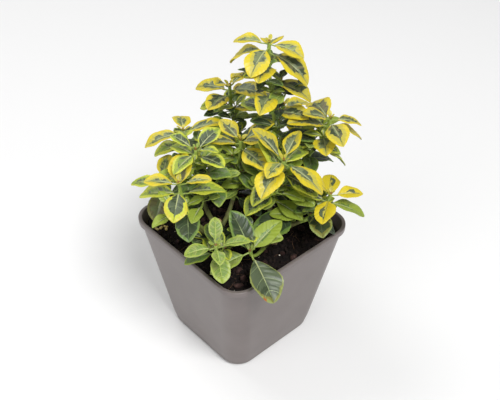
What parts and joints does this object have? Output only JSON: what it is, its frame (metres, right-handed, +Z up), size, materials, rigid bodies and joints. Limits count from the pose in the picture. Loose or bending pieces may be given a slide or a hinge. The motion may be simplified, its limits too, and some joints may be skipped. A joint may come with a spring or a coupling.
{
  "type": "potted wintercreeper euonymus",
  "caption": "Young evergreen wintercreeper euonymus with yellow-edged green leaves in pairs, on leafy shoots from woody cuttings, in a tapered square nursery pot filled with soil.",
  "frame": {"origin": "centre of the pot's flat underside", "axes": "+Z up, with the pot's sides along X and Y; the picture looks at the pot from the corner at -X, -Y"},
  "size_m": [0.1288, 0.1217, 0.1812],
  "materials": {
    "pot_plastic": "satin",
    "soil": "matte",
    "bark": "matte",
    "stem": "satin",
    "leaf": "satin"
  },
  "bodies": {
    "root": {"pot": "pot_plastic", "soil": "soil", "cutting_a": "bark", "cutting_b": "bark", "cutting_c": "bark", "bough_left": "stem", "bough_left_back": "stem", "bough_front_low": "stem", "bough_middle": "stem", "bough_corner_left": "stem", "bough_centre_front": "stem", "bough_right_front": "stem", "bough_front": "stem", "bough_right_low": "stem", "bough_tall": "stem", "bough_right": "stem", "bough_back_right": "stem", "bough_back": "stem", "bough_back_left": "stem", "shoot_left": "leaf", "shoot_left_back": "leaf", "shoot_front_low": "leaf", "shoot_middle": "leaf", "shoot_corner_left": "leaf", "shoot_centre_front": "leaf", "shoot_right_front": "leaf", "shoot_front": "leaf", "shoot_right_low": "leaf", "shoot_tall": "leaf", "shoot_right": "leaf", "shoot_back_right": "leaf", "shoot_back": "leaf", "shoot_back_left": "leaf"}
  },
  "joints": []
}
